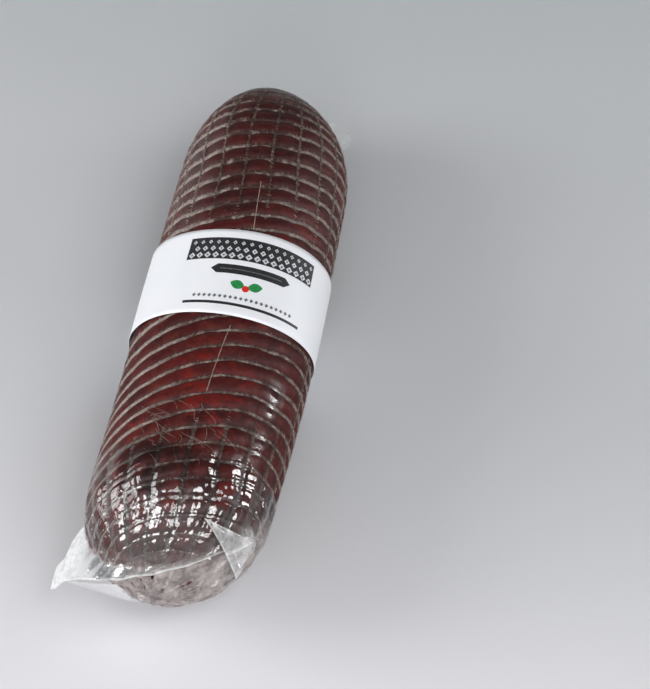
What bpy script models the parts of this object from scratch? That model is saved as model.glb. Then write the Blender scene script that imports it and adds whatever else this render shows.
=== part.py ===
"""A whole bresaola in a clear vacuum bag, with a paper label band round its middle.

The cured meat keeps the relief of its net: rings and lengthwise lines pressed in, soft cells between.
It lies on the ground along Y, the label's face up. Metres, +Z up.
The origin is on the ground under the middle of the pack's box, half way between the meat's tips.
"""

import math

import bpy
import numpy as np
from mathutils import Vector

MM = 0.001

# The meat: a round bar with domed ends, a little thinner at its far end and bowed towards +X
HALF_LENGTH = 190.0 * MM
NEAR_DOME = 64.0 * MM
FAR_DOME = 73.0 * MM
NEAR_RADIUS = 56.6 * MM
FAR_RADIUS = 54.6 * MM
BELLY = 2.8 * MM  # how much thicker it is half way along
MIDDLE_RADIUS = (NEAR_RADIUS + FAR_RADIUS) / 2 + BELLY
HEIGHT_SHARE = 0.985
BOW = 5.9 * MM
FLAT_DEPTH = 3.5 * MM  # how far the underside is pressed level

# The net's relief
RING_PITCH = 11.4 * MM
RING_DEPTH = 1.5 * MM
RING_TILT = math.radians(13)
COLUMNS = 20
COLUMN_DEPTH = 0.9 * MM
COLUMN_TWIST = math.radians(5)
POINTS_PER_COLUMN = 3
BARE_POLE = 14.0 * MM  # the relief fades out this near a tip

# The label band
LABEL_MIDDLE = 10.5 * MM
LABEL_WIDTH = 64.0 * MM
LABEL_TILT = math.radians(3.5)
LABEL_THICK = 0.6 * MM
LABEL_GAP = 0.4 * MM
LABEL_LIFT = 0.35 * MM
LABEL_SLACK = 0.8 * MM  # how far it stands off on its -X side
LABEL_POINTS = 90
LABEL_ROWS = 6
RECESS_MARGIN = 9.0 * MM
RECESS_HEIGHT = 1.8 * MM  # how high the meat's underside is over the label

# The bag's sealed ends: rows of (x, inner y, outer y) in mm, on a sheet arched over the meat's axis
FIN_THICK = 1.4 * MM
NEAR_FIN_CREST = (18.0 * MM, 30.5 * MM)
NEAR_FIN_ARCH = 8.0
NEAR_FIN_MM = (
    (-66.3, -168, -187), (-62, -157, -189), (-55, -151, -186), (-42, -140, -188), (-31, -135, -191),
    (-16, -135, -192), (4, -135, -188), (23, -135, -179), (43, -135, -163), (47, -137, -162.5),
    (52, -140, -171), (58, -151, -156),
)
FAR_FIN_CREST = (24.0 * MM, 3.0 * MM)
FAR_FIN_ARCH = 4.0
FAR_FIN_MM = (
    (54, 164, 170), (51, 157, 173), (44, 149, 179), (36, 140, 180), (24, 140, 186), (8, 140, 191.5),
    (-6, 140, 192), (-22, 140, 188), (-36, 140, 179), (-45, 140, 167),
)

# Finishes
PACK_COLOUR = (0.105, 0.028, 0.022, 1.0)
LABEL_COLOUR = (0.86, 0.87, 0.90, 1.0)


def clear_scene():
    """Empties the scene that the script starts in."""
    for old in list(bpy.data.objects):
        bpy.data.objects.remove(old, do_unlink=True)


def finish(name, colour, roughness):
    """A Principled material of one colour."""
    material = bpy.data.materials.new(name)
    material.use_nodes = True
    shader = material.node_tree.nodes["Principled BSDF"]
    shader.inputs["Base Color"].default_value = colour
    shader.inputs["Roughness"].default_value = roughness
    shader.inputs["Metallic"].default_value = 0.0
    return material


def arch_at(y):
    """A share that rises from nothing at the tips to one half way along."""
    return 1 - (y / HALF_LENGTH) ** 2


def radius_at(y):
    """The bar's radius, leaving out its domes."""
    share = (y + HALF_LENGTH) / (2 * HALF_LENGTH)
    return NEAR_RADIUS + (FAR_RADIUS - NEAR_RADIUS) * share + BELLY * arch_at(y)


def axis_at(y):
    """The bar's axis: bowed sideways, and as high as lets the underside rest on the ground."""
    return Vector((BOW * arch_at(y), y, radius_at(y) * HEIGHT_SHARE - FLAT_DEPTH))


def make_profile(steps=60):
    """The outline from the near tip to the far tip: arc length, y, and share of the radius."""
    near, far = [], []
    for k in range(steps + 1):
        turn = math.pi / 2 * k / steps
        near.append((-HALF_LENGTH + NEAR_DOME * (1 - math.cos(turn)), math.sin(turn)))
        far.append((HALF_LENGTH - FAR_DOME * (1 - math.cos(turn)), math.sin(turn)))
    outline = np.array(near + far[::-1])
    steps_along = np.hypot(np.diff(outline[:, 0]), np.diff(outline[:, 1]) * MIDDLE_RADIUS)
    arc = np.concatenate([[0.0], np.cumsum(steps_along)])
    return arc, outline[:, 0], outline[:, 1]


ARC, PROFILE_Y, PROFILE_SHARE = make_profile()
FULL_ARC = float(ARC[-1])


def lump(y, angle):
    """How far the hand-trimmed meat stands off a true bar at this place."""
    wide = 0.8 * MM * math.sin(2 * angle + 0.7 + y / (70 * MM))
    long = 0.7 * MM * math.sin(3 * angle - y / (42 * MM))
    swell = 0.5 * MM * math.cos((y + 70 * MM) / (52 * MM))
    return wide + long + swell


def bar_point(arc, angle, out=0.0):
    """A point on the smooth bar at an arc length from the near tip, raised along its normal by out."""
    y = float(np.interp(arc, ARC, PROFILE_Y))
    share = float(np.interp(arc, ARC, PROFILE_SHARE))
    ahead, behind = min(arc + MM, FULL_ARC), max(arc - MM, 0.0)
    run = float(np.interp(ahead, ARC, PROFILE_Y) - np.interp(behind, ARC, PROFILE_Y))
    rise = float(np.interp(ahead, ARC, PROFILE_SHARE) - np.interp(behind, ARC, PROFILE_SHARE))
    slope = math.hypot(run, rise * MIDDLE_RADIUS)
    outward = out + lump(y, angle) * share
    off_axis = radius_at(y) * share + outward * run / slope
    along = -outward * rise * MIDDLE_RADIUS / slope
    side = Vector((off_axis * math.cos(angle), along, off_axis * HEIGHT_SHARE * math.sin(angle)))
    return axis_at(y) + side


def net_place(ring_arc, column_angle):
    """Where the net's own coordinates fall on the bar: its rings lean, and its lines wind round."""
    y = float(np.interp(ring_arc, ARC, PROFILE_Y))
    share = float(np.interp(ring_arc, ARC, PROFILE_SHARE))
    angle = column_angle + y * math.tan(COLUMN_TWIST) / MIDDLE_RADIUS
    lean = MIDDLE_RADIUS * share * math.cos(angle) * math.tan(RING_TILT)
    arc = min(max(ring_arc + lean, 0.0), FULL_ARC)
    return arc, angle


def near_label(point, margin):
    """True where the label band, with a margin on each side, passes over this point."""
    middle = LABEL_MIDDLE + (point.x - BOW) * math.tan(LABEL_TILT)
    return abs(point.y - middle) < LABEL_WIDTH / 2 + margin


def meat_point(ring_arc, column_angle, drop):
    """A point of the netted surface, let in by drop, cut level where it meets the ground."""
    from_tip = min(ring_arc, FULL_ARC - ring_arc)
    fade = min(1.0, from_tip / BARE_POLE)
    arc, angle = net_place(ring_arc, column_angle)
    point = bar_point(arc, angle, -drop * fade)
    ground = RECESS_HEIGHT if near_label(point, RECESS_MARGIN) else 0.0
    point.z = max(point.z, ground)
    return point


def mesh_object(name, points, faces, material):
    """A mesh object of its own, linked to the scene."""
    mesh = bpy.data.meshes.new(name)
    mesh.from_pydata([tuple(p) for p in points], [], faces)
    mesh.materials.append(material)
    mesh.update()
    made = bpy.data.objects.new(name, mesh)
    bpy.context.scene.collection.objects.link(made)
    return made


def loop_faces(loops, around):
    """Quads between loops of points, each loop closed on itself."""
    faces = []
    for row in range(loops - 1):
        low, high = row * around, (row + 1) * around
        for k in range(around):
            after = (k + 1) % around
            faces.append((low + k, high + k, high + after, low + after))
    return faces


def make_meat(material):
    """The netted bar: a loop of points in every ring's groove and on every crest between them."""
    rings = round(FULL_ARC / RING_PITCH)
    around = COLUMNS * POINTS_PER_COLUMN
    points = []
    for row in range(1, rings * 2):
        in_groove = row % 2 == 1
        for k in range(around):
            in_line = k % POINTS_PER_COLUMN == 0
            drop = max(RING_DEPTH if in_groove else 0.0, COLUMN_DEPTH if in_line else 0.0)
            points.append(meat_point(FULL_ARC * row / (2 * rings), 2 * math.pi * k / around, drop))
    loops = rings * 2 - 1
    faces = loop_faces(loops, around)
    near_tip, far_tip = len(points), len(points) + 1
    points += [bar_point(0.0, 0.0), bar_point(FULL_ARC, 0.0)]
    last = (loops - 1) * around
    for k in range(around):
        after = (k + 1) % around
        faces.append((near_tip, k, after))
        faces.append((far_tip, last + after, last + k))
    return mesh_object("vacuum_pack", points, faces, material)


def make_fin(name, rows_mm, crest, arch, material):
    """A sealed end of the bag as a thin arched strip. It is a helper that the pack is joined with."""
    crest_x, crest_height = crest
    points = []
    for x_mm, inner_mm, outer_mm in rows_mm:
        x = x_mm * MM
        height = axis_at(outer_mm * MM).z + crest_height - arch * (x - crest_x) ** 2
        for y_mm, side in ((inner_mm, -0.5), (outer_mm, -0.5), (outer_mm, 0.5), (inner_mm, 0.5)):
            points.append(Vector((x, y_mm * MM, height + side * FIN_THICK)))
    corners = 4
    faces = loop_faces(len(rows_mm), corners)
    last = (len(rows_mm) - 1) * corners
    faces.append((0, 1, 2, 3))
    faces.append((last + 3, last + 2, last + 1, last))
    fin = mesh_object(name, points, faces, material)
    fin.hide_render = True
    fin.display_type = "WIRE"
    return fin


def join(body, helper):
    """Unites a helper's shape with the body."""
    union = body.modifiers.new("join_" + helper.name, "BOOLEAN")
    union.operation = "UNION"
    union.solver = "EXACT"
    union.object = helper


def label_point(share_across, angle, out):
    """A point of the label band, which lies on the crests and is pressed level under the pack."""
    arc_middle = float(np.interp(LABEL_MIDDLE, PROFILE_Y, ARC))
    lean = MIDDLE_RADIUS * math.cos(angle) * math.tan(LABEL_TILT)
    arc = arc_middle + lean + (share_across - 0.5) * LABEL_WIDTH
    slack = LABEL_SLACK * max(0.0, -math.cos(angle)) ** 2
    point = bar_point(arc, angle, LABEL_GAP + slack + out)
    point.z = max(point.z, LABEL_LIFT + LABEL_THICK - out)
    return point


def make_label(material):
    """The paper band: an outer and an inner skin, with its two cut edges closed."""
    skins = [(row / LABEL_ROWS, LABEL_THICK) for row in range(LABEL_ROWS + 1)]
    skins += [(row / LABEL_ROWS, 0.0) for row in range(LABEL_ROWS, -1, -1)]
    points = []
    for share_across, out in skins:
        for k in range(LABEL_POINTS):
            points.append(label_point(share_across, 2 * math.pi * k / LABEL_POINTS, out))
    faces = []
    for face in loop_faces(len(skins) + 1, LABEL_POINTS):
        faces.append(tuple(index % len(points) for index in face))
    return mesh_object("label_band", points, faces, material)


def main():
    clear_scene()
    pack_finish = finish("vacuum_pack", PACK_COLOUR, 0.22)
    label_finish = finish("label_paper", LABEL_COLOUR, 0.45)
    pack = make_meat(pack_finish)
    join(pack, make_fin("near_fin", NEAR_FIN_MM, NEAR_FIN_CREST, NEAR_FIN_ARCH, pack_finish))
    join(pack, make_fin("far_fin", FAR_FIN_MM, FAR_FIN_CREST, FAR_FIN_ARCH, pack_finish))
    make_label(label_finish)


main()
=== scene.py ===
"""Dresses the vacuum-packed bresaola: meat, net, film and its seams, paper label, floor, light, camera."""

import math

import bpy
import numpy as np
from mathutils import Matrix, Vector
from mathutils.geometry import tessellate_polygon


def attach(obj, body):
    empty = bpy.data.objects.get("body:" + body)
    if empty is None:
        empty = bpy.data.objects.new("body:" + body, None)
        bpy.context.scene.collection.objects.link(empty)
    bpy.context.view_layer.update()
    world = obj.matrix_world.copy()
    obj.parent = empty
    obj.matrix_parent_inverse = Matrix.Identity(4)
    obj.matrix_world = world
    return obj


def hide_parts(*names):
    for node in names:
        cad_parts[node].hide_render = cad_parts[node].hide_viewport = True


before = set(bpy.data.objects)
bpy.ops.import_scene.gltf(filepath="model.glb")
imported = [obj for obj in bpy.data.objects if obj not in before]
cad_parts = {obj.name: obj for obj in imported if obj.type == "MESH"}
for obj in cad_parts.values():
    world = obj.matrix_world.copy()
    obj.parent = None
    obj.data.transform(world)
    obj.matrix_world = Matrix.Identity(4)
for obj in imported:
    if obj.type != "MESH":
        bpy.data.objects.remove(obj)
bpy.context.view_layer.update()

MM = 0.001
SEED = 11

# The meat
HALF_LENGTH = 190.0 * MM
NEAR_DOME = 64.0 * MM
FAR_DOME = 73.0 * MM
NEAR_RADIUS = 56.6 * MM
FAR_RADIUS = 54.6 * MM
BELLY = 2.8 * MM
MIDDLE_RADIUS = (NEAR_RADIUS + FAR_RADIUS) / 2 + BELLY
HEIGHT_SHARE = 0.985  # its height over its width
BOW = 5.9 * MM
FLAT_DEPTH = 3.5 * MM  # how far the underside is pressed level

# The net: its places, and how deep it is drawn into the meat
RING_PITCH = 11.4 * MM
RING_DROP = 2.2 * MM
FAR_LEAN = 13.0 * MM  # how far a ring's +X side is ahead of its axis
NEAR_LEAN = 24.0 * MM
FAR_ARCH = 2.0 * MM  # how far a ring's top is ahead of its axis
NEAR_ARCH = 13.0 * MM
COLUMNS = 20
COLUMN_TWIST = math.radians(4)
COLUMN_DROP = 0.9 * MM
SCALLOP = 0.9 * MM  # how far a ring is pulled along the bar where a lengthwise line crosses it
BARE_POLE = 14.0 * MM
RING_SUNK = 1.4 * MM  # how deep a string's middle lies in the bar, and how much deeper in some places
RING_SUNK_NEAR = 0.4 * MM
COLUMN_SUNK = 1.2 * MM
COLUMN_SUNK_BURIED = 0.6 * MM
COLUMN_SUNK_NEAR = 0.7 * MM
RING_HALF_WIDTH = 1.35 * MM
RING_HALF_HEIGHT = 0.85 * MM
COLUMN_HALF_WIDTHS = (1.45, 0.9)  # in mm, at the near end and at the far end
COLUMN_HALF_HEIGHT = 1.1 * MM
CORD_TWIST = 4.2 * MM
FIBRE_LENGTHS = (1.2, 3.4)  # in mm
FIBRE_HALF_WIDTH = 0.16 * MM

# Changes along the bar: the y where each one begins and the y where it is complete
LEAN_CHANGE = (-60.0 * MM, 30.0 * MM)
DEPTH_CHANGE = (-50.0 * MM, 50.0 * MM)
LINES_SINK = (-108.0 * MM, -88.0 * MM)
LINES_RISE = (30.0 * MM, 90.0 * MM)
NEAR_BULGES_END = (-125.0 * MM, -100.0 * MM)
NEAR_SHINE_ENDS = (-124.0 * MM, -108.0 * MM)
NEAR_CREASES_END = (-152.0 * MM, -116.0 * MM)
FAR_CREASES_BEGIN = (148.0 * MM, 180.0 * MM)

# The meat's redder places: x, y and size in mm
RED_SPOTS_MM = (
    (12, -72, 24), (24, -84, 20), (10, -58, 16), (40, 60, 17), (-44, 58, 14), (-30, -100, 14),
    (0, -150, 26), (32, -136, 20), (-30, -140, 20),
)

# Where the film stands off the meat and shines, on the bar's right flank: x, y and size in mm
LOOSE_SPOTS_MM = (
    (50.2, -59.8, 6.5), (49.5, -72, 4), (49.1, -91.8, 4.5), (47.4, -101.2, 4), (43.3, -112.7, 6),
)

# The film's creases, and how many there are near each end: sizes in mm
NEAR_CREASES = 420
FAR_CREASES = 130
CREASE_LENGTHS = (5, 22)
CREASE_HEIGHTS = (-0.5, 1.0)
CREASE_HALF_WIDTHS = (0.6, 1.1)

# The label band
LABEL_MIDDLE = 10.5 * MM
LABEL_WIDTH = 64.0 * MM
LABEL_TILT = math.radians(3.5)
LABEL_FACE = 1.0 * MM  # how far its face stands off the bar
LABEL_PAPER = 0.25 * MM
LABEL_LIFT = 0.35 * MM
LABEL_SLACK = 0.8 * MM
RECESS_MARGIN = 9.0 * MM
RECESS_HEIGHT = 1.8 * MM

# How high each layer's underside is over the ground
MEAT_LIFT = 0.5 * MM
FILM_LIFT = 0.12 * MM
STRING_LIFT = 1.3 * MM

# The bag's sealed ends: rows of (x, inner y, outer y) in mm, on a sheet arched over the meat's axis.
# A crest is the x where the sheet is highest, and its height over the axis there
NEAR_FIN_CREST = (18.0 * MM, 30.5 * MM)
NEAR_FIN_ARCH = 8.0
NEAR_FIN_MM = (
    (-66.3, -171, -187), (-61.5, -168, -189), (-59.5, -158, -188), (-55, -150, -186), (-42, -140, -188),
    (-31, -135, -191), (-16, -135, -192), (4, -135, -188), (23, -135, -179), (43, -135, -163),
    (47, -137, -162.5), (52, -140, -171), (58, -151, -156),
)
FAR_FIN_CREST = (24.0 * MM, 3.0 * MM)
FAR_FIN_ARCH = 4.0
FAR_FIN_MM = (
    (54, 164, 170), (51, 157, 173), (44, 149, 179), (36, 140, 180), (24, 140, 186), (8, 140, 191.5),
    (-6, 140, 192), (-22, 140, 188), (-36, 140, 179), (-45, 140, 167),
)

# Loose three-cornered pieces of the near end's film: their corners in mm
RIDGE_END_MM = (42.6, -165.3, 79.5)
SHOULDER_MM = (55.0, -150.0, 70.0)
WEB_MM = ((-59.0, -184.0, 38.0), (-20.0, -189.0, 60.0), (-9.0, -184.0, 24.0))
FLAP_MM = ((28.2, -154.5, 102.0), RIDGE_END_MM, SHOULDER_MM)
TAIL_MM = (SHOULDER_MM, RIDGE_END_MM, (48.2, -167.6, 50.0))

# The point that the lights face, and the strength of the light that comes from all round
LIGHTS_AIM = (0.0, 0.0, 0.06)
SKY_IN_FRONT = 0.8
SKY_BEHIND = 0.1


def turns(count):
    """Angles spread evenly round a circle."""
    return 2 * math.pi * np.arange(count) / count


def smooth(value, low, high):
    """A share that eases from 0 at low to 1 at high."""
    share = np.clip((value - low) / (high - low), 0.0, 1.0)
    return share * share * (3 - 2 * share)


def arch_at(y):
    """A share that rises from nothing at the tips to one half way along."""
    return 1 - (y / HALF_LENGTH) ** 2


def radius_at(y):
    """The bar's radius, leaving out its domes."""
    share = (y + HALF_LENGTH) / (2 * HALF_LENGTH)
    return NEAR_RADIUS + (FAR_RADIUS - NEAR_RADIUS) * share + BELLY * arch_at(y)


def make_profile(steps=400):
    """The outline from the near tip to the far tip: arc length, y, and share of the radius."""
    turn = np.linspace(0, math.pi / 2, steps + 1)
    near_y = -HALF_LENGTH + NEAR_DOME * (1 - np.cos(turn))
    far_y = HALF_LENGTH - FAR_DOME * (1 - np.cos(turn))
    y = np.concatenate([near_y, far_y[::-1]])
    share = np.concatenate([np.sin(turn), np.sin(turn)[::-1]])
    steps_along = np.hypot(np.diff(y), np.diff(share) * MIDDLE_RADIUS)
    return np.concatenate([[0.0], np.cumsum(steps_along)]), y, share


ARC, PROFILE_Y, PROFILE_SHARE = make_profile()
FULL_ARC = float(ARC[-1])
RINGS = round(FULL_ARC / RING_PITCH)
RING_STEP = FULL_ARC / RINGS
COLUMN_STEP = 2 * math.pi / COLUMNS


def y_at(arc):
    return np.interp(arc, ARC, PROFILE_Y)


def share_at(arc):
    return np.interp(arc, ARC, PROFILE_SHARE)


def arc_at(y):
    return np.interp(y, PROFILE_Y, ARC)


def lump(y, angle):
    """How far the hand-trimmed meat stands off a true bar at this place."""
    wide = 0.8 * MM * np.sin(2 * angle + 0.7 + y / (70 * MM))
    long = 0.7 * MM * np.sin(3 * angle - y / (42 * MM))
    swell = 0.5 * MM * np.cos((y + 70 * MM) / (52 * MM))
    return wide + long + swell


def bar_points(arc, angle, out):
    """Points on the smooth bar by arc length from the near tip, raised off it by out."""
    arc, angle, out = np.broadcast_arrays(arc, angle, out)
    y = y_at(arc)
    share = share_at(arc)
    ahead = np.minimum(arc + MM, FULL_ARC)
    behind = np.maximum(arc - MM, 0.0)
    run = y_at(ahead) - y_at(behind)
    rise = share_at(ahead) - share_at(behind)
    slope = np.hypot(run, rise * MIDDLE_RADIUS)
    outward = out + lump(y, angle) * share
    off_axis = radius_at(y) * share + outward * run / slope
    along = -outward * rise * MIDDLE_RADIUS / slope
    x = BOW * arch_at(y) + off_axis * np.cos(angle)
    z = radius_at(y) * HEIGHT_SHARE - FLAT_DEPTH + off_axis * HEIGHT_SHARE * np.sin(angle)
    return np.stack([x, y + along, z], axis=-1)


def over(x, y, out):
    """Points on the bar's upper side over the given x and y."""
    arc = arc_at(y)
    reach = radius_at(y) * np.maximum(share_at(arc), 0.05)
    angle = np.arccos(np.clip((x - BOW * arch_at(y)) / reach, -1.0, 1.0))
    return bar_points(arc, angle, out)


def wander(ring_arc, column_angle):
    """How far the hand-pulled net strays from an even grid, along the bar and round it."""
    place = ring_arc / MM
    along = 0.8 * np.sin(2 * column_angle + place / 37) + 0.5 * np.sin(5 * column_angle - place / 23 + 1.3)
    along = along + 0.3 * np.sin(11 * column_angle + place / 9)
    around = 1.0 * np.sin(3 * column_angle + place / 31) + 0.6 * np.sin(2 * column_angle - place / 13)
    return along * MM, around * MM


def net_place(ring_arc, column_angle):
    """Where the net's own coordinates fall on the bar: its rings lean, and its lines wind round."""
    along, around = wander(ring_arc, column_angle)
    share = share_at(ring_arc)
    y = y_at(ring_arc)
    angle = column_angle + (y * math.tan(COLUMN_TWIST) + around) / MIDDLE_RADIUS
    near = 1 - smooth(y, *LEAN_CHANGE)
    lean = (FAR_LEAN + (NEAR_LEAN - FAR_LEAN) * near) * np.cos(angle)
    arch = (FAR_ARCH + (NEAR_ARCH - FAR_ARCH) * near) * (np.sin(angle) - 1)
    hang = SCALLOP * (1 - 0.6 * near) * (np.abs(np.sin(column_angle * COLUMNS / 2)) ** 0.7 - 0.7)
    return np.clip(ring_arc + (lean + arch + along + hang) * share, 0.0, FULL_ARC), angle


def fade_at(ring_arc):
    """A share that is nothing at the tips, where the net is gathered, and one elsewhere."""
    return np.minimum(1.0, np.minimum(ring_arc, FULL_ARC - ring_arc) / BARE_POLE)


def from_ring(ring_arc):
    """The distance to the nearest ring."""
    phase = ring_arc / RING_STEP - 0.5
    return np.abs(phase - np.round(phase)) * RING_STEP


def from_column(ring_arc, column_angle):
    """The distance to the nearest lengthwise line."""
    phase = column_angle / COLUMN_STEP
    return np.abs(phase - np.round(phase)) * COLUMN_STEP * MIDDLE_RADIUS * share_at(ring_arc)


def ground_at(points):
    """How high the pack's underside is: level, but let in where the label passes under it."""
    middle = LABEL_MIDDLE + (points[..., 0] - BOW) * math.tan(LABEL_TILT)
    from_label = np.abs(points[..., 1] - middle) - LABEL_WIDTH / 2
    return RECESS_HEIGHT * (1 - smooth(from_label, RECESS_MARGIN - 6 * MM, RECESS_MARGIN))


def net_surface(ring_arc, column_angle, out, lift):
    """Points of a layer in the net's own coordinates, level where it lies on the ground."""
    ring_arc, column_angle, out = np.broadcast_arrays(ring_arc, column_angle, out)
    arc, angle = net_place(ring_arc, column_angle)
    points = bar_points(arc, angle, out * fade_at(ring_arc))
    points[..., 2] = np.maximum(points[..., 2], ground_at(points) + lift)
    return points


def column_share(ring_arc, column_angle):
    """How plainly a lengthwise line shows: least on top by the label, where it is buried."""
    y = y_at(ring_arc)
    middle = smooth(y, *LINES_SINK) * (1 - smooth(y, *LINES_RISE))
    top = smooth(np.sin(column_angle), 0.2, 0.8)
    return 1 - 0.85 * middle * top


def near_share(ring_arc):
    """Where the near dome bulges between the lengthwise lines: all of it but its tip."""
    past_the_tip = smooth(ring_arc, 18 * MM, 50 * MM)
    return (1 - smooth(y_at(ring_arc), *NEAR_BULGES_END)) * past_the_tip


def bulge(ring_arc, column_angle):
    """A rounded share: nothing on a lengthwise line and one half way between two of them."""
    return 1 - (1 - off_column(ring_arc, column_angle)) ** 1.8


def deepness(ring_arc):
    """How deep the net is drawn in, as a share of its full depth: deeper in the far half."""
    return 0.72 + 0.4 * smooth(y_at(ring_arc), *DEPTH_CHANGE)


def off_column(ring_arc, column_angle):
    """How far a place is from the nearest lengthwise line, as a share of half a cell."""
    half_cell = COLUMN_STEP / 2 * MIDDLE_RADIUS * np.maximum(share_at(ring_arc), 0.02)
    return from_column(ring_arc, column_angle) / half_cell


def pillow(ring_arc, column_angle, sharpness=2.2, column_gain=1.0):
    """How far a layer drops from the crest of its cell towards the net round it."""
    off_ring = from_ring(ring_arc) / (RING_STEP / 2)
    column_drop = COLUMN_DROP * column_gain * column_share(ring_arc, column_angle)
    drop = RING_DROP * deepness(ring_arc) * (1 - off_ring) ** sharpness
    return drop + column_drop * (1 - off_column(ring_arc, column_angle)) ** 4


def meat_out(ring_arc, column_angle):
    """The meat's height over the bar: soft cells between the grooves of the net."""
    place = ring_arc / MM
    grain = 0.10 * np.sin(23 * column_angle + place / 3.1) * np.sin(place / 4.3 - 9 * column_angle)
    swell = near_share(ring_arc) * (1.8 * bulge(ring_arc, column_angle) - 1.2)
    return (grain + swell) * MM - pillow(ring_arc, column_angle)


def film_out(ring_arc, column_angle):
    """The film's height over the bar: on the cells and the strings, and drawn in beside them."""
    place = ring_arc / MM
    near = near_share(ring_arc)
    bridge = 1.4 * np.exp(-((from_ring(ring_arc) / (1.3 * MM)) ** 2))
    line = 0.7 * np.exp(-((from_column(ring_arc, column_angle) / (1.5 * MM)) ** 2)) * (1 - near)
    swell = near * (1.6 * bulge(ring_arc, column_angle) - 0.55)
    wobble = 0.07 * np.sin(31 * column_angle + place / 2.3) * np.sin(place / 5.1 - 7 * column_angle)
    folds = np.sin(63 * column_angle + 2.2 * np.sin(place / 8.5)) * np.sin(place / 7 + 5 * column_angle)
    fold = 0.22 * near * folds
    relief = pillow(ring_arc, column_angle, 2.8, 1 - near)
    return (0.25 + bridge + line + swell + wobble + fold) * MM - relief


def grid_faces(rows, columns, close_columns=True, close_rows=False):
    """Quads of a grid of points, closed on itself where asked."""
    row = np.arange(rows if close_rows else rows - 1)[:, None]
    column = np.arange(columns if close_columns else columns - 1)[None, :]
    next_row = (row + 1) % rows
    next_column = (column + 1) % columns
    corners = [row * columns + column, next_row * columns + column]
    corners += [next_row * columns + next_column, row * columns + next_column]
    return np.stack(np.broadcast_arrays(*corners), axis=-1).reshape(-1, 4)


def mesh_piece(name, points, faces, material, slot, **shares):
    """A smooth mesh that rides on the pack, with named shares on its points for the material."""
    mesh = bpy.data.meshes.new(name)
    mesh.from_pydata(np.asarray(points).reshape(-1, 3).tolist(), [], faces)
    mesh.polygons.foreach_set("use_smooth", np.ones(len(mesh.polygons), dtype=bool))
    for share_name, values in shares.items():
        layer = mesh.attributes.new(share_name, "FLOAT", "POINT")
        layer.data.foreach_set("value", np.asarray(values, dtype=np.float32).ravel())
    mesh.materials.append(material)
    mesh.update()
    piece = bpy.data.objects.new(name, mesh)
    bpy.context.scene.collection.objects.link(piece)
    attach(piece, "root")
    return piece


def capped_piece(name, points, pole, end, material, **shares):
    """A layer of the pack, closed by a fan of triangles at its near tip, its far tip or both."""
    rows, around = points.shape[:2]
    faces = grid_faces(rows, around).tolist()
    poles = np.atleast_2d(pole)
    near_tip = rows * around
    far_tip = near_tip + len(poles) - 1
    last = (rows - 1) * around
    for k in range(around):
        after = (k + 1) % around
        if end in ("near", "both"):
            faces.append((near_tip, k, after))
        if end in ("far", "both"):
            faces.append((far_tip, last + after, last + k))
    everything = np.concatenate([points.reshape(-1, 3), poles])
    padded = {
        key: np.append(values.ravel(), [values.flat[-1]] * len(poles)) for key, values in shares.items()
    }
    return mesh_piece(name, everything, faces, material, "vacuum_pack", **padded)


def unit(vectors):
    return vectors / np.maximum(np.linalg.norm(vectors, axis=-1, keepdims=True), 1e-12)


def tube_points(path, outward, across, high, sides, closed):
    """Loops of points round a path, with half widths along the surface and off it."""
    if closed:
        ahead = np.roll(path, -1, axis=0) - np.roll(path, 1, axis=0)
    else:
        ahead = np.gradient(path, axis=0)
    along = unit(ahead)
    side = unit(np.cross(along, outward))
    lift = np.cross(side, along)
    turn = turns(sides)
    wide = (np.cos(turn) * across)[..., None] * side[:, None, :]
    tall = (np.sin(turn) * high)[..., None] * lift[:, None, :]
    return path[:, None, :] + wide + tall


def tube_group(name, tubes, closed, material, soak=1.0):
    """Several tubes as one piece of the pack, soaked darker in places."""
    faces, start = [], 0
    for tube in tubes:
        rows, sides = tube.shape[:2]
        faces.append(grid_faces(rows, sides, close_rows=closed) + start)
        start += rows * sides
    faces = np.concatenate(faces).tolist()
    points = np.concatenate([tube.reshape(-1, 3) for tube in tubes])
    mesh_piece(name, points, faces, material, "vacuum_pack", soaked=soak * soaked_share(points))


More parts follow.
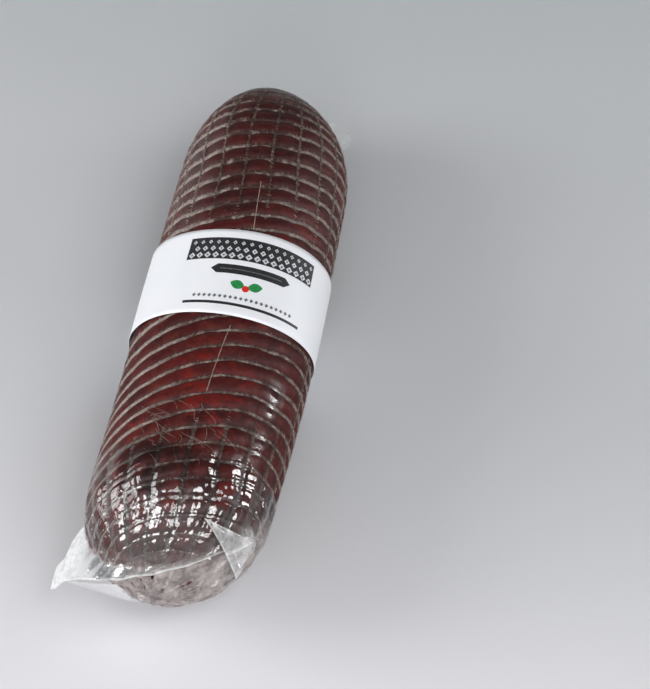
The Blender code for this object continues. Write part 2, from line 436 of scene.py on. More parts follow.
class Shader:
    """A node material that is put together step by step."""

    def __init__(self, name):
        self.material = bpy.data.materials.new(name)
        self.material.use_nodes = True
        self.nodes = self.material.node_tree.nodes
        self.links = self.material.node_tree.links
        self.nodes.clear()
        self.output = self.nodes.new("ShaderNodeOutputMaterial")
        self.place = self.nodes.new("ShaderNodeTexCoord").outputs["Object"]

    def join(self, value, socket):
        """Links an output to a socket, or sets the socket's own value."""
        if isinstance(value, bpy.types.NodeSocket):
            self.links.new(value, socket)
        else:
            socket.default_value = value

    def node(self, kind, settings=(), **inputs):
        """A new node with its settings, and its inputs by name."""
        made = self.nodes.new(kind)
        for key, value in dict(settings).items():
            setattr(made, key, value)
        for key, value in inputs.items():
            self.join(value, made.inputs[key.replace("_", " ")])
        return made

    def noise(self, scale, detail=3.0, roughness=0.5, vector=None, kind="FBM"):
        place = self.place if vector is None else vector
        inputs = {"Scale": scale, "Detail": detail, "Roughness": roughness, "Vector": place}
        return self.node("ShaderNodeTexNoise", {"noise_type": kind}, **inputs).outputs["Fac"]

    def ridges(self, scale, detail, vector=None):
        """Sharp branching ridges, as in crumpled film."""
        return self.noise(scale, detail, 0.5, vector, "RIDGED_MULTIFRACTAL")

    def cells(self, scale):
        """The distance to the nearest of many scattered points."""
        return self.node("ShaderNodeTexVoronoi", Scale=scale, Vector=self.place).outputs["Distance"]

    def share(self, name):
        """A share that is kept on the mesh's points."""
        return self.node("ShaderNodeAttribute", {"attribute_name": name}).outputs["Fac"]

    def stretched(self, scale):
        """The object's own coordinates, scaled along each axis."""
        return self.node("ShaderNodeMapping", Vector=self.place, Scale=scale).outputs["Vector"]

    def spread(self, value, low, high, to_low=0.0, to_high=1.0):
        """A value's range from low to high laid onto another range, with soft ends."""
        made = self.node("ShaderNodeMapRange", {"interpolation_type": "SMOOTHSTEP"}, Value=value)
        for key, number in (("From Min", low), ("From Max", high), ("To Min", to_low), ("To Max", to_high)):
            made.inputs[key].default_value = number
        return made.outputs["Result"]

    def reckon(self, operation, first, second):
        made = self.node("ShaderNodeMath", {"operation": operation})
        self.join(first, made.inputs[0])
        self.join(second, made.inputs[1])
        return made.outputs["Value"]

    def times(self, first, second):
        return self.reckon("MULTIPLY", first, second)

    def plus(self, first, second):
        return self.reckon("ADD", first, second)

    def least(self, first, second):
        return self.reckon("MINIMUM", first, second)

    def blend(self, share, first, second):
        """A colour between two colours."""
        made = self.node("ShaderNodeMix", {"data_type": "RGBA"})
        for value, index in ((share, 0), (first, 6), (second, 7)):
            self.join(value, made.inputs[index])
        return made.outputs[2]

    def bump(self, height, distance, normal=None):
        made = self.node("ShaderNodeBump", Height=height, Distance=distance)
        if normal is not None:
            self.join(normal, made.inputs["Normal"])
        return made.outputs["Normal"]

    def surface(self, **inputs):
        """A Principled shader."""
        return self.node("ShaderNodeBsdfPrincipled", **inputs).outputs["BSDF"]

    def clear_film(self, index, roughness, normal, amount=1.0):
        """See-through film that reflects more at a slant, by its refractive index, times an amount."""
        gloss = self.surface(Base_Color=(1, 1, 1, 1), Metallic=1.0, Roughness=roughness, Normal=normal)
        shine = self.node("ShaderNodeFresnel", IOR=index, Normal=normal).outputs["Fac"]
        nothing = self.node("ShaderNodeBsdfTransparent").outputs["BSDF"]
        return self.mixed(self.times(shine, amount), nothing, gloss)

    def mixed(self, share, first, second):
        made = self.nodes.new("ShaderNodeMixShader")
        self.join(share, made.inputs[0])
        self.links.new(first, made.inputs[1])
        self.links.new(second, made.inputs[2])
        return made.outputs["Shader"]

    def done(self, surface):
        self.links.new(surface, self.output.inputs["Surface"])
        return self.material


def colour(red, green, blue):
    """A colour for a socket, from display values of 0 to 255."""
    straight = []
    for value in (red, green, blue):
        share = value / 255
        straight.append(share / 12.92 if share <= 0.04045 else ((share + 0.055) / 1.055) ** 2.4)
    return (*straight, 1.0)


def meat_finish():
    """Dark dried beef, with redder and browner fields and a fine wet grain."""
    s = Shader("cured_meat")
    base = s.blend(s.spread(s.noise(38.0, 4.0, 0.6), 0.35, 0.68), colour(54, 11, 12), colour(80, 19, 16))
    base = s.blend(s.spread(s.noise(120.0, 5.0, 0.65), 0.45, 0.75), base, colour(96, 34, 26))
    base = s.blend(s.spread(s.noise(300.0, 4.0, 0.7), 0.5, 0.8, 0.0, 0.7), base, colour(34, 9, 10))
    fleck = s.spread(s.noise(900.0, 2.0, 0.5), 0.62, 0.78, 0.0, 0.5)
    base = s.blend(fleck, base, colour(112, 66, 54))
    red = s.times(s.share("redness"), s.spread(s.noise(95.0, 5.0, 0.7), 0.46, 0.62))
    base = s.blend(s.times(red, 0.7), base, colour(122, 24, 17))
    base = s.blend(s.share("far"), base, colour(30, 12, 13))
    base = s.blend(s.share("groove"), base, colour(62, 38, 32))
    height = s.plus(s.noise(420.0, 4.0, 0.6), s.noise(1500.0, 2.0, 0.5))
    normal = s.bump(height, 0.00025)
    rough = s.spread(s.noise(260.0, 3.0, 0.5), 0.3, 0.7, 0.38, 0.6)
    return s.done(s.surface(Base_Color=base, Roughness=rough, Specular_IOR_Level=0.12, Normal=normal))


def string_finish(name, pale, dark, darkest):
    """Fuzzy cotton, soaked darker in places."""
    s = Shader(name)
    base = s.blend(s.spread(s.noise(700.0, 4.0, 0.7), 0.35, 0.7), dark, pale)
    soak = s.times(s.share("soaked"), s.spread(s.noise(170.0, 4.0, 0.6), 0.25, 0.6))
    base = s.blend(soak, base, darkest)
    normal = s.bump(s.noise(1600.0, 3.0, 0.7), 0.0006)
    return s.done(s.surface(Base_Color=base, Roughness=0.8, Specular_IOR_Level=0.2, Normal=normal))


def film_finish():
    """Clear shrunk film: see-through, glossy where it is loose, and milky where it is crumpled, with a
    painted pale sheen on the far half's flanks that stands in for their reflection at a slant.
    """
    s = Shader("vacuum_film")
    lengthwise = s.stretched((1.0, 0.6, 1.0))
    crumple = s.times(s.ridges(70.0, 5.0, lengthwise), s.share("below"))
    wrinkle = s.noise(210.0, 3.0, 0.55, s.stretched((1.0, 0.35, 1.0)))
    wrinkle = s.times(wrinkle, s.plus(s.share("crinkle"), 0.25))
    normal = s.bump(wrinkle, 0.00032)
    normal = s.bump(crumple, 0.0008, normal)
    rough = s.spread(s.share("loose"), 0.0, 1.0, 0.3, 0.05)
    patchy = s.spread(s.noise(55.0, 3.0, 0.6), 0.38, 0.6, 0.5, 1.25)
    amount = s.times(s.spread(s.share("loose"), 0.0, 1.0, 0.04, 1.2), patchy)
    clear = s.clear_film(1.55, rough, normal, amount)
    milky = s.surface(Base_Color=colour(236, 224, 220), Roughness=0.35, Normal=normal)
    specks = s.spread(s.cells(420.0), 0.16, 0.05, 0.0, 0.3)
    specks = s.times(specks, s.spread(s.noise(60.0, 2.0), 0.48, 0.65))
    uneven = s.spread(s.noise(140.0, 5.0, 0.65, lengthwise), 0.3, 0.7, 0.3, 1.25)
    uneven = s.plus(uneven, s.times(crumple, 0.9))
    # The milky haze holds the crumpled film's own milkiness and also a painted pale sheen on the far half's
    # flanks, which is a painted reflection
    haze_and_painted_sheen = s.times(s.share("milk"), uneven)
    line = s.times(s.share("crease"), s.spread(s.noise(300.0, 3.0), 0.35, 0.6, 0.0, 0.45))
    haze_and_painted_sheen = s.plus(haze_and_painted_sheen, s.plus(line, specks))
    return s.done(s.mixed(s.least(haze_and_painted_sheen, 0.9), clear, milky))


def seam_finish():
    """The bag's welded ends: doubled film, frosted and brighter at its edge."""
    s = Shader("film_seam")
    normal = s.bump(s.ridges(110.0, 4.0), 0.0004)
    normal = s.bump(s.noise(500.0, 3.0, 0.6), 0.0002, normal)
    milky = s.surface(Base_Color=(0.88, 0.89, 0.89, 1), Roughness=0.25, Normal=normal)
    uneven = s.spread(s.noise(160.0, 4.0, 0.6), 0.3, 0.7, 0.6, 1.3)
    frost = s.times(s.share("frost"), uneven)
    return s.done(s.mixed(s.least(frost, 0.96), s.clear_film(1.5, 0.2, normal), milky))


def paper_finish():
    """Smooth coated white paper."""
    s = Shader("label_paper")
    base = s.blend(s.noise(35.0, 3.0), colour(238, 241, 246), colour(246, 247, 250))
    normal = s.bump(s.noise(2200.0, 3.0, 0.6), 0.00004)
    return s.done(s.surface(Base_Color=base, Roughness=0.42, Normal=normal))


def ink_finish(name, shade, other):
    """Printed ink, a little uneven."""
    s = Shader(name)
    base = s.blend(s.spread(s.noise(800.0, 2.0), 0.35, 0.65), shade, other)
    return s.done(s.surface(Base_Color=base, Roughness=0.4))


def near_spot(points, x_mm, y_mm, size_mm):
    """A share that falls off round a spot on the bar's upper side."""
    spot = over(np.array(x_mm * MM), np.array(y_mm * MM), 0.0)
    return np.exp(-((np.linalg.norm(points - spot, axis=-1) / (size_mm * MM)) ** 2))


def make_meat():
    """The cured meat: a fine skin with the net's relief."""
    rows, around = 330, 240
    ring_arc = np.linspace(0, FULL_ARC, rows + 2)[1:-1, None]
    column_angle = turns(around)[None, :]
    points = net_surface(ring_arc, column_angle, meat_out(ring_arc, column_angle), MEAT_LIFT)
    tips = bar_points(np.array([0.0, FULL_ARC]), 0.0, 0.0)
    groove = np.exp(-((from_ring(ring_arc) / (1.6 * MM)) ** 2)) * np.ones_like(column_angle)
    redness = np.zeros(points.shape[:2])
    for x, y, size in RED_SPOTS_MM:
        redness += near_spot(points, x, y, size)
    far_top = smooth(points[..., 1], 10 * MM, 90 * MM) * smooth(points[..., 2], 60 * MM, 100 * MM)
    capped_piece(
        "cured_meat", points, tips, "both", meat_finish(),
        groove=0.5 * groove, redness=np.minimum(redness, 1.0), far=0.38 * far_top,
    )


def soaked_share(points):
    """Strings are darkest along the top, where they lie deepest in the meat, and most at its far end."""
    middle = smooth(points[..., 0], -38 * MM, -6 * MM) * smooth(points[..., 2], 45 * MM, 90 * MM)
    far_top = smooth(points[..., 1], 20 * MM, 70 * MM)
    right = smooth(points[..., 0], 8 * MM, 36 * MM)
    return 0.08 + (0.87 + far_top * (0.4 - 0.8 * right)) * middle


def string_path(ring_arc, column_angle, sunk):
    """A string's middle line, the way out of the bar along it, and where that is round the bar."""
    path = net_surface(ring_arc, column_angle, -sunk, STRING_LIFT)
    arc, angle = net_place(ring_arc, column_angle)
    return path, unit(bar_points(arc, angle, MM) - bar_points(arc, angle, -MM)), angle


def make_rings(draw):
    """The net's elastic rings, drawn into the meat between its cells."""
    points_round, sides = 240, 6
    column_angle = turns(points_round)
    tubes = []
    for ring in range(1, RINGS - 1):
        ring_arc = np.full(points_round, RING_STEP * (ring + 0.5))
        deep = deepness(ring_arc)
        sunk = RING_SUNK * deep + RING_SUNK_NEAR * near_share(ring_arc)
        path, outward, angle = string_path(ring_arc, column_angle, sunk)
        uneven = 1 + 0.13 * np.sin(9 * column_angle + draw.uniform(0, 6))
        uneven = uneven + draw.uniform(-0.14, 0.14, points_round)
        left_side = smooth(-np.cos(angle), 0.0, 0.8)
        right_side = smooth(np.cos(angle), 0.3, 0.9)
        width = 0.85 * deep + 0.55 * left_side + 0.2 * right_side
        buried = 1 - 0.3 * (1 - smooth(path[:, 1], -150 * MM, -112 * MM))
        across = (RING_HALF_WIDTH * width * uneven * buried)[:, None]
        high = np.minimum(across * 0.8, RING_HALF_HEIGHT)
        tubes.append(tube_points(path, outward, across, high, sides, closed=True))
    finish = string_finish("net_ring", colour(206, 192, 184), colour(138, 124, 117), colour(66, 42, 37))
    tube_group("net_rings", tubes, True, finish)


def make_columns():
    """The net's lengthwise lines: cords twisted round the rings."""
    steps, sides = 400, 8
    ring_arc = np.linspace(BARE_POLE * 0.6, FULL_ARC - BARE_POLE * 0.6, steps)
    turn = turns(sides)
    ends = np.minimum(1.0, np.minimum(np.arange(steps), np.arange(steps)[::-1]) / 5 + 0.2)
    tubes = []
    for column in range(COLUMNS):
        column_angle = np.full(steps, COLUMN_STEP * column)
        plain = column_share(ring_arc, column_angle)
        sunk = COLUMN_SUNK + COLUMN_SUNK_BURIED * (1 - plain) + COLUMN_SUNK_NEAR * near_share(ring_arc)
        path, outward, _ = string_path(ring_arc, column_angle, sunk)
        twist = np.cos(2 * turn[None, :] - 2 * math.pi * ring_arc[:, None] / CORD_TWIST)
        near_width, far_width = COLUMN_HALF_WIDTHS
        thick = (near_width + (far_width - near_width) * smooth(path[:, 1:2], -90 * MM, 40 * MM)) * MM
        across = thick * (1 + 0.25 * twist) * (ends * (0.4 + 0.6 * plain))[:, None]
        high = np.minimum(across * 0.8, COLUMN_HALF_HEIGHT)
        tubes.append(tube_points(path, outward, across, high, sides, closed=False))
    finish = string_finish("net_column", colour(132, 122, 112), colour(84, 68, 61), colour(62, 42, 37))
    tube_group("net_columns", tubes, False, finish)


def crease_heights(points, creases):
    """How far straight creases raise the film at these points. Each has a start, end, height and width."""
    raised = np.zeros(len(points))
    for start, end, height, width in creases:
        run = end - start
        share = np.clip((points - start) @ run / (run @ run), 0.0, 1.0)
        off = np.linalg.norm(points - start - share[:, None] * run, axis=1)
        raised += height * np.exp(-((off / width) ** 2)) * np.sin(np.pi * (0.08 + 0.84 * share))
    return raised


def draw_creases(draw, count, low_arc, high_arc):
    """Creases strewn over the bar between two arc lengths."""
    creases = []
    for _ in range(count):
        arc = draw.uniform(low_arc, high_arc)
        angle = draw.uniform(0, 2 * math.pi)
        length = draw.uniform(*CREASE_LENGTHS) * MM
        heading = draw.uniform(0, math.pi)
        round_the_bar = MIDDLE_RADIUS * max(float(share_at(arc)), 0.15)
        start = bar_points(arc, angle, 0.0)
        end_arc = np.clip(arc + length * math.cos(heading), 0.0, FULL_ARC)
        end = bar_points(end_arc, angle + length * math.sin(heading) / round_the_bar, 0.0)
        height = draw.uniform(*CREASE_HEIGHTS) * MM
        creases.append((start, end, height, draw.uniform(*CREASE_HALF_WIDTHS) * MM))
    return creases


def near_fin_height(x):
    """How high the near end's welded sheet stands, about where it leaves the meat."""
    crest_x, crest_height = NEAR_FIN_CREST
    axis_z = radius_at(-HALF_LENGTH + NEAR_DOME / 4) * HEIGHT_SHARE - FLAT_DEPTH
    return axis_z + crest_height - NEAR_FIN_ARCH * (x - crest_x) ** 2


def film_layer(ring_arc, around, creases):
    """The film's points in the net's coordinates, and its shares for the material."""
    ring_arc = ring_arc[:, None]
    column_angle = turns(around)[None, :]
    out = film_out(ring_arc, column_angle)
    skin = net_surface(ring_arc, column_angle, out, FILM_LIFT)
    x, y, z = np.moveaxis(skin, -1, 0)
    near_end = 1 - smooth(y, *NEAR_CREASES_END)
    far_end = smooth(y, *FAR_CREASES_BEGIN)
    crinkle = np.maximum(near_end, 0.45 * far_end)
    under_fin = near_fin_height(x) - z
    below = 0.25 * smooth(under_fin, -14 * MM, -2 * MM) + 0.75 * smooth(under_fin, -2 * MM, 6 * MM)
    below = near_end * below
    place = ring_arc / MM
    gathers = np.sin(17 * column_angle + 1.5 * np.sin(place / 11)) * np.sin(place / 8 + 3 * column_angle)
    raised = crease_heights(skin.reshape(-1, 3), creases).reshape(skin.shape[:2])
    lifted = out + raised * (0.3 + 0.7 * below) + crinkle * (0.1 + 0.7 * gathers * below) * MM
    points = net_surface(ring_arc, column_angle, lifted, FILM_LIFT)
    loose = 1 - smooth(y, *NEAR_SHINE_ENDS)
    for spot_x, spot_y, size in LOOSE_SPOTS_MM:
        loose = loose + 0.85 * near_spot(skin, spot_x, spot_y, size)
    # A painted pale sheen on the far half's flanks, stronger on the left: a painted reflection of the
    # surroundings at a slant, added to the film's milky haze
    left = smooth(-x, 12 * MM, 50 * MM)
    right = smooth(x, 20 * MM, 50 * MM)
    painted_flank_sheen = (0.1 * left + 0.025 * right) * smooth(y, 0.0, 60 * MM)
    shares = {
        "loose": np.clip(np.maximum(loose, 0.6 * far_end), 0.0, 1.0),
        "below": below,
        "crinkle": crinkle,
        "milk": 0.02 * near_end + 0.36 * below + 0.09 * far_end + painted_flank_sheen,
        "crease": np.clip(raised / (0.8 * MM), 0.0, 1.0) * crinkle,
    }
    return points, shares


def make_film(draw):
    """The shrunk film: over the cells, drawn in beside the strings, and crumpled at the ends."""
    finish = film_finish()
    split, tip = 100 * MM, 0.7 * MM
    creases = draw_creases(draw, NEAR_CREASES, 4 * MM, 112 * MM)
    far_creases = draw_creases(draw, FAR_CREASES, FULL_ARC - 55 * MM, FULL_ARC - 4 * MM)
    tips = bar_points(np.array([0.0, FULL_ARC]), 0.0, 0.4 * MM)
    parts = (
        ("vacuum_film_near", np.linspace(tip, split, 134), 420, tips[0], "near"),
        ("vacuum_film", np.linspace(split, FULL_ARC - tip, 245), 260, tips[1], "far"),
    )
    for name, ring_arc, around, pole, end in parts:
        points, shares = film_layer(ring_arc, around, creases + far_creases if end == "far" else creases)
        film = capped_piece(name, points, pole, end, finish, **shares)
        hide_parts("vacuum_pack")


def make_seam(name, rows_mm, crest, arch, finish, draw, frost_of):
    """A welded end of the bag: a thin crumpled sheet, frosted towards its edge."""
    steps_across, steps_out, knot_spacing = 200, 26, 12
    rows = np.array(sorted(rows_mm)) * MM
    x = np.linspace(rows[0, 0], rows[-1, 0], steps_across)[:, None]
    inner = np.interp(x, rows[:, 0], rows[:, 1])
    outer = np.interp(x, rows[:, 0], rows[:, 2])
    share = np.linspace(0, 1, steps_out)[None, :]
    knots = x[::knot_spacing, 0]
    ragged = np.interp(x[:, 0], knots, draw.uniform(0.0, 0.9, len(knots)))[:, None] * MM
    y = inner + (outer + ragged * np.sign(inner - outer) - inner) * share
    crest_x, crest_height = crest
    axis_z = radius_at(outer) * HEIGHT_SHARE - FLAT_DEPTH
    height = axis_z + crest_height - arch * (x - crest_x) ** 2
    wave = 0.5 * np.sin(x / (3.6 * MM) + y / (4.1 * MM))
    wave = wave + 0.35 * np.sin(x / (1.9 * MM) - y / (2.7 * MM) + 1.0)
    z = height + wave * share * MM
    points = np.stack(np.broadcast_arrays(x, y, z), axis=-1)
    faces = grid_faces(steps_across, steps_out, close_columns=False).tolist()
    mesh_piece(name, points, faces, finish, "vacuum_pack", frost=frost_of(points, np.abs(y - outer)))


def near_frost(points, from_edge):
    """The near seam is frosted along its weld, all over its left ear, and a little on its right one."""
    rim = 0.75 * (1 - smooth(from_edge, 0.6 * MM, 2.6 * MM))
    left_ear = 0.8 * (1 - smooth(points[..., 0], -60 * MM, -38 * MM))
    right_ear = 0.3 * smooth(points[..., 0], 46 * MM, 56 * MM)
    return np.maximum(rim, left_ear + right_ear) + 0.08


def far_frost(points, from_edge):
    """The far seam is nearly clear, with a thin pale edge and a paler right tip."""
    tip = 0.25 * smooth(points[..., 0], 38 * MM, 52 * MM)
    return 0.03 + 0.12 * (1 - smooth(from_edge, 0.5 * MM, 1.5 * MM)) + tip


def make_flap(name, corners_mm, rise, frosted, finish):
    """A three-cornered piece of loose film beside the near seam, rounded, and brighter at its edges."""
    steps = 24
    corners = np.array(corners_mm) * MM
    middle = np.array([BOW, -140 * MM, 53 * MM])
    points, frost, index = [], [], {}
    for i in range(steps + 1):
        for j in range(steps + 1 - i):
            a, b = i / steps, j / steps
            c = 1 - a - b
            point = a * corners[0] + b * corners[1] + c * corners[2]
            lift = (rise * (a * b + b * c + a * c) + 0.4 * math.sin(9 * a + 7 * b)) * MM
            points.append(point + unit(point - middle) * lift)
            edges = ((c, 0.03, 1.0), (a, 0.05, 1.0), (b, 0.03, 0.8))
            rim = max(bright * math.exp(-((off / wide) ** 2)) for off, wide, bright in edges)
            frost.append(frosted * (1 + 1.3 * rim))
            index[i, j] = len(points) - 1
    faces = []
    for i, j in index:
        if (i + 1, j) in index and (i, j + 1) in index:
            faces.append((index[i, j], index[i + 1, j], index[i, j + 1]))
        if (i + 1, j) in index and j > 0:
            faces.append((index[i, j], index[i + 1, j - 1], index[i + 1, j]))
    mesh_piece(name, points, faces, finish, "vacuum_pack", frost=frost)


def make_fuzz(draw):
    """Short fibres on the net's strings, but not where the lengthwise lines are buried."""
    on_rings, on_columns, sides, steps = 4400, 3800, 3, 4
    count = on_rings + on_columns
    ring = draw.integers(1, RINGS - 1, on_rings)
    column = draw.integers(0, COLUMNS, on_columns)
    column_angle = np.append(draw.uniform(0, 2 * math.pi, on_rings), COLUMN_STEP * column)
    past_the_tip = 22 * MM
    column_arc = draw.uniform(past_the_tip, FULL_ARC - past_the_tip, on_columns)
    ring_arc = np.append(RING_STEP * (ring + 0.5), column_arc)
    heading = np.append(draw.normal(0.0, 0.6, on_rings), draw.normal(1.25, 0.25, on_columns))
    length = draw.uniform(*FIBRE_LENGTHS, count) * MM
    buried = column_share(ring_arc, column_angle) < 0.45
    tubes = []
    for index in range(count):
        if index >= on_rings and buried[index]:
            continue
        share = np.linspace(-0.5, 0.5, steps)
        along = ring_arc[index] + length[index] * math.cos(heading[index]) * share
        turn = length[index] * math.sin(heading[index]) * share / MIDDLE_RADIUS
        angle = column_angle[index] + turn
        rise = (0.1 if index >= on_rings else -0.05) - 0.5 * near_share(ring_arc[index])
        path = net_surface(along, angle, rise * MM, STRING_LIFT)
        outward = unit((path - [BOW, 0.0, MIDDLE_RADIUS]) * [1, 0, 1])
        across = np.full((steps, 1), FIBRE_HALF_WIDTH)
        tubes.append(tube_points(path, outward, across, across, sides, closed=False))
    finish = string_finish("net_fibre", colour(206, 192, 182), colour(160, 144, 134), colour(122, 98, 88))
    tube_group("net_fuzz", tubes, False, finish)


def make_threads(draw):
    """Two long threads on top, and a scatter of loose hairs towards the near end."""
    thread_half_width, hair_half_width, hairs, steps, sides = 0.24, 0.08, 24, 40, 6
    lines_mm = [
        ((10.7, 82.7), (14.1, 44.9), thread_half_width),
        ((15.6, -27.6), (12.2, -76.7), thread_half_width),
    ]
    for _ in range(hairs):
        x, y = draw.uniform(-26, 26), draw.uniform(-120, -84)
        heading, length = draw.normal(-0.6, 0.35), draw.uniform(6, 17)
        end = (x + length * math.cos(heading), y + length * math.sin(heading))
        lines_mm.append(((x, y), end, hair_half_width))
    tubes = []
    for (x0, y0), (x1, y1), half_width in lines_mm:
        share = np.linspace(0, 1, steps)
        bend = np.sin(share * math.pi * draw.uniform(0.7, 2.0)) * draw.uniform(-1.6, 1.6)
        x = (x0 + (x1 - x0) * share + bend) * MM
        y = (y0 + (y1 - y0) * share) * MM
        path = over(x, y, 0.35 * MM)
        outward = unit(over(x, y, MM) - over(x, y, -MM))
        across = np.full((steps, 1), half_width * MM)
        tubes.append(tube_points(path, outward, across, across, sides, closed=False))
    pale, dark = colour(184, 166, 154), colour(146, 124, 112)
    finish = string_finish("loose_fibre", pale, dark, colour(150, 130, 120))
    tube_group("loose_fibres", tubes, False, finish, soak=0.0)


def label_points(around, across, out):
    """Points on the label: around runs from its top towards +X, and across from its middle towards +Y."""
    around, across, out = np.broadcast_arrays(around, across, out)
    angle = math.pi / 2 - around / MIDDLE_RADIUS
    arc = arc_at(LABEL_MIDDLE) + MIDDLE_RADIUS * np.cos(angle) * math.tan(LABEL_TILT) + across
    slack = LABEL_SLACK * np.maximum(0.0, -np.cos(angle)) ** 2
    wave = 0.12 * MM * np.sin(5 * angle + across / (17 * MM))
    points = bar_points(arc, angle, LABEL_FACE + slack + wave + out)
    points[..., 2] = np.maximum(points[..., 2], LABEL_LIFT - out)
    return points


def make_label():
    """The paper band: its face, its back and its two cut edges."""
    steps_round, rows = 360, 24
    around = MIDDLE_RADIUS * turns(steps_round)
    across = LABEL_WIDTH * (np.arange(rows + 1) / rows - 0.5)
    skins = [(place, 0.0) for place in across] + [(place, -LABEL_PAPER) for place in across[::-1]]
    points = np.stack([label_points(around, place, out) for place, out in skins])
    faces = grid_faces(len(skins), steps_round, close_rows=True).tolist()
    label = mesh_piece("paper_label", points, faces, paper_finish(), "label_paper")
    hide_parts("label_band")


def oval(middle, half_sizes, count=24):
    """An oval's outline on the label, in mm."""
    turn = turns(count)
    across = middle[0] + half_sizes[0] * np.cos(turn)
    along = middle[1] + half_sizes[1] * np.sin(turn)
    return list(zip(across.tolist(), along.tolist()))


def leaf(root, length, half_width, heading):
    """A pointed leaf on the label, in mm, cut into narrow strips that follow the label's curve."""
    steps = 12
    edges = []
    for k in range(steps + 1):
        along = length * k / steps
        half = max(0.02, half_width * math.sin(math.pi * k / steps) ** 0.8)
        edges.append([
            (root[0] + along * math.cos(heading) - side * half * math.sin(heading),
             root[1] + along * math.sin(heading) + side * half * math.cos(heading))
            for side in (1, -1)
        ])
    return [[left[0], left[1], right[1], right[0]] for left, right in zip(edges, edges[1:])]


def stripe(left, low, high, step, count):
    """A long bar on the label, in mm, cut into short oblongs that follow the label's curve."""
    cuts = [left + step * k for k in range(count + 1)]
    return [[(a, low), (b, low), (b, high), (a, high)] for a, b in zip(cuts, cuts[1:])]


def diamond(middle, half_wide, half_high):
    """A diamond's outline on the label, in mm."""
    a, b = middle
    return [(a - half_wide, b), (a, b - half_high), (a + half_wide, b), (a, b + half_high)]


def print_piece(name, outlines, finish, out):
    """Printed shapes that lie on the label. Long edges are divided, so that they follow its curve."""
    points, faces = [], []
    longest = 2.5
    for outline in outlines:
        fine = []
        for k, (a, b) in enumerate(outline):
            a2, b2 = outline[(k + 1) % len(outline)]
            pieces = max(1, math.ceil(math.hypot(a2 - a, b2 - b) / longest))
            fine += [(a + (a2 - a) * j / pieces, b + (b2 - b) * j / pieces) for j in range(pieces)]
        start = len(points)
        points += fine
        flat = [Vector((a, b, 0.0)) for a, b in fine]
        faces += [tuple(start + index for index in face) for face in tessellate_polygon([flat])]
    around, across = (np.array(points) * MM).T
    mesh_piece(name, label_points(around, across, out), faces, finish, "label_paper")


def make_print():
    """A made-up design: a strip of diamonds, a plaque, a sprig, a row of small diamonds and a bar."""
    ink = ink_finish("ink_black", colour(26, 26, 30), colour(38, 38, 42))
    strip = stripe(-31.0, 9.0, 25.5, 3.0, 29)
    left, right, low, high = -8.0, 36.0, -1.6, 5.2
    point, half_way = 4.0, (low + high) / 2
    plaque = stripe(left, low, high, 4.0, 11)
    plaque.append([(left, low), (left, high), (left - point, half_way)])
    plaque.append([(right, low), (right + point, half_way), (right, high)])
    bar = stripe(-24.5, -24.9, -22.9, 2.5, 31)
    print_piece("label_print_black", strip + plaque + bar, ink, 0.05 * MM)

    tiles, dots = [], []
    spacing, dot_share, strip_end = 5.4, 0.32, 55.0
    for column in range(16):
        for row, (half_wide, half_high) in enumerate(((2.3, 2.4), (1.9, 2.1), (1.4, 1.6))):
            shift = spacing / 2 if row % 2 else 0.0
            middle = (-27.6 + spacing * column + shift, 12.0 + 5.0 * row)
            if middle[0] < strip_end:
                tiles.append(diamond(middle, half_wide, half_high))
                dots.append(oval(middle, (half_wide * dot_share, half_high * dot_share), 12))
    pale = ink_finish("ink_pale_grey", colour(196, 198, 202), colour(226, 228, 232))
    print_piece("label_print_pale", tiles, pale, 0.09 * MM)
    grey = ink_finish("ink_grey", colour(92, 93, 97), colour(120, 121, 126))
    row_of_diamonds = [diamond((a, -19.0), 1.2, 1.4) for a in np.arange(-18.0, 48.0, 3.3)]
    trim = stripe(-6.0, 1.5, 2.1, 4.0, 10)
    print_piece("label_print_grey", dots + row_of_diamonds + trim, grey, 0.13 * MM)

    green = ink_finish("ink_green", colour(24, 128, 62), colour(34, 146, 72))
    right_leaf = leaf((14.0, -10.2), 9.5, 3.2, math.radians(14))
    left_leaf = leaf((12.0, -10.2), 9.5, 3.2, math.radians(166))
    print_piece("label_print_green", right_leaf + left_leaf, green, 0.06 * MM)
    red = ink_finish("ink_red", colour(206, 34, 30), colour(220, 44, 36))
    print_piece("label_print_red", [oval((13.0, -11.4), (2.3, 2.3))], red, 0.10 * MM)


def make_floor():
    """A plain pale floor, with painted shade that makes it darker in the distance."""
    s = Shader("floor")
    depth = s.node("ShaderNodeSeparateXYZ", Vector=s.place).outputs["Y"]
    # Painted shade: the floor's colour darkens with distance, in place of light falling off
    shade = s.blend(s.spread(depth, -0.27, 0.06), colour(231, 230, 234), colour(197, 199, 202))
    shade = s.blend(s.spread(depth, 0.1, 0.4), shade, colour(186, 189, 192))
    material = s.done(s.surface(Base_Color=shade, Roughness=0.9, Specular_IOR_Level=0.05))
    half = 4.0
    mesh = bpy.data.meshes.new("floor")
    corners = [(-half, -half, 0), (half, -half, 0), (half, half, 0), (-half, half, 0)]
    mesh.from_pydata(corners, [], [(0, 1, 2, 3)])
    mesh.materials.append(material)
    floor = bpy.data.objects.new("floor", mesh)
    bpy.context.scene.collection.objects.link(floor)


def softbox(name, place, width, height, power):
    """A soft rectangular light that faces the pack."""
    light = bpy.data.lights.new(name, "AREA")
    light.shape = "RECTANGLE"
    light.size = width
    light.size_y = height
    light.energy = power
    lamp = bpy.data.objects.new(name, light)
    lamp.location = place
    lamp.rotation_euler = (Vector(LIGHTS_AIM) - Vector(place)).to_track_quat("-Z", "Y").to_euler()
    bpy.context.scene.collection.objects.link(lamp)
    return lamp


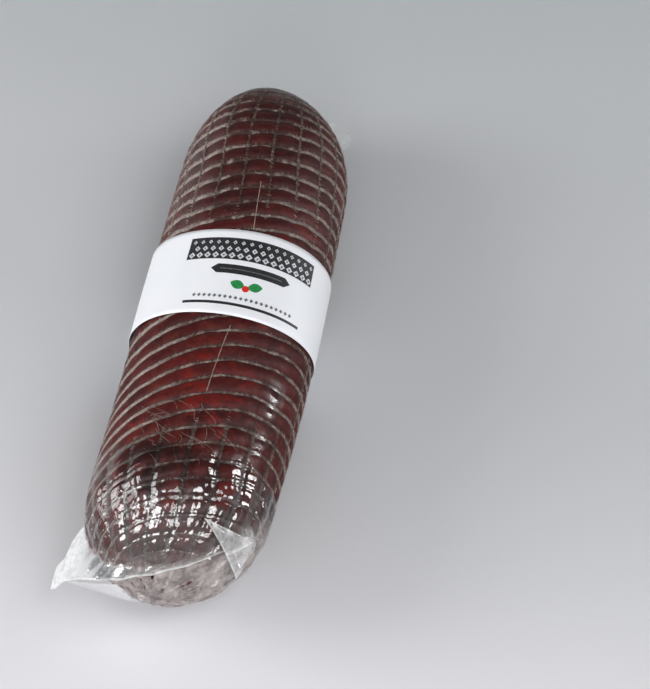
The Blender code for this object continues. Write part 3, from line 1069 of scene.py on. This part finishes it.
def make_light():
    """Softboxes that light the pack, windows that only glint on it, and a sky that is dim behind."""
    softbox("left", (-1.65, -0.32, 0.72), 0.8, 1.3, 21)
    softbox("right", (1.3, 0.42, 0.45), 0.36, 0.9, 3).visible_glossy = False
    softbox("above", (0.9, -0.1, 1.5), 1.0, 1.0, 9.5).visible_glossy = False
    softbox("front", (0.26, -1.48, 1.13), 0.6, 0.6, 4).visible_glossy = False
    softbox("right_window", (1.3, 0.31, 0.42), 0.32, 0.7, 10).visible_diffuse = False
    softbox("left_window", (-0.75, -1.0, 1.15), 0.8, 0.8, 31).visible_diffuse = False
    softbox("near_window", (0.8, -0.75, 1.2), 0.8, 0.8, 23).visible_diffuse = False
    softbox("far_window", (-0.2, 1.4, 0.62), 1.8, 0.4, 4).visible_diffuse = False
    world = bpy.data.worlds.new("studio")
    world.use_nodes = True
    nodes, links = world.node_tree.nodes, world.node_tree.links
    background = nodes["Background"]
    background.inputs["Color"].default_value = (0.97, 0.98, 1.0, 1.0)
    heading = nodes.new("ShaderNodeTexCoord")
    split = nodes.new("ShaderNodeSeparateXYZ")
    front = nodes.new("ShaderNodeMapRange")
    front.interpolation_type = "SMOOTHSTEP"
    front.inputs["From Min"].default_value = 0.15
    front.inputs["From Max"].default_value = -0.6
    front.inputs["To Min"].default_value = SKY_BEHIND
    front.inputs["To Max"].default_value = SKY_IN_FRONT
    links.new(heading.outputs["Generated"], split.inputs["Vector"])
    links.new(split.outputs["Y"], front.inputs["Value"])
    links.new(front.outputs["Result"], background.inputs["Strength"])
    bpy.context.scene.world = world


def make_camera():
    """The photograph's view, whose frame is 650 by 689."""
    azimuth, elevation = math.radians(11.49), math.radians(60.0)
    distance, focal_px = 1.3, 2000.0
    width_px, height_px = 650, 689
    aim, aim_px = Vector((0.0, 0.0, 0.054)), (220.13, 329.69)
    right = Vector((math.cos(azimuth), math.sin(azimuth), 0.0))
    level = Vector((math.sin(azimuth), -math.cos(azimuth), 0.0))
    back = level * math.cos(elevation) + Vector((0.0, 0.0, math.sin(elevation)))
    up = back.cross(right)
    off_right = (aim_px[0] - width_px / 2) / focal_px * distance
    off_up = (height_px / 2 - aim_px[1]) / focal_px * distance
    eye = aim + back * distance - right * off_right - up * off_up
    lens = bpy.data.cameras.new("camera")
    lens.sensor_width = 36.0
    lens.lens = focal_px / height_px * lens.sensor_width
    camera = bpy.data.objects.new("camera", lens)
    turn = Matrix((right, up, back)).transposed().to_4x4()
    camera.matrix_world = Matrix.Translation(eye) @ turn
    bpy.context.scene.collection.objects.link(camera)
    bpy.context.scene.camera = camera
    bpy.context.scene.view_settings.view_transform = "Standard"


def main():
    draw = np.random.default_rng(SEED)
    make_camera()
    make_light()
    make_floor()
    make_meat()
    make_rings(draw)
    make_columns()
    make_fuzz(draw)
    make_film(draw)
    seam = seam_finish()
    make_flap("near_web", WEB_MM, 3.0, 0.12, seam)
    make_flap("near_flap", FLAP_MM, 7.0, 0.34, seam)
    make_flap("near_tail", TAIL_MM, 4.0, 0.4, seam)
    make_seam("near_seam", NEAR_FIN_MM, NEAR_FIN_CREST, NEAR_FIN_ARCH, seam, draw, near_frost)
    make_seam("far_seam", FAR_FIN_MM, FAR_FIN_CREST, FAR_FIN_ARCH, seam, draw, far_frost)
    make_threads(draw)
    make_label()
    make_print()


main()
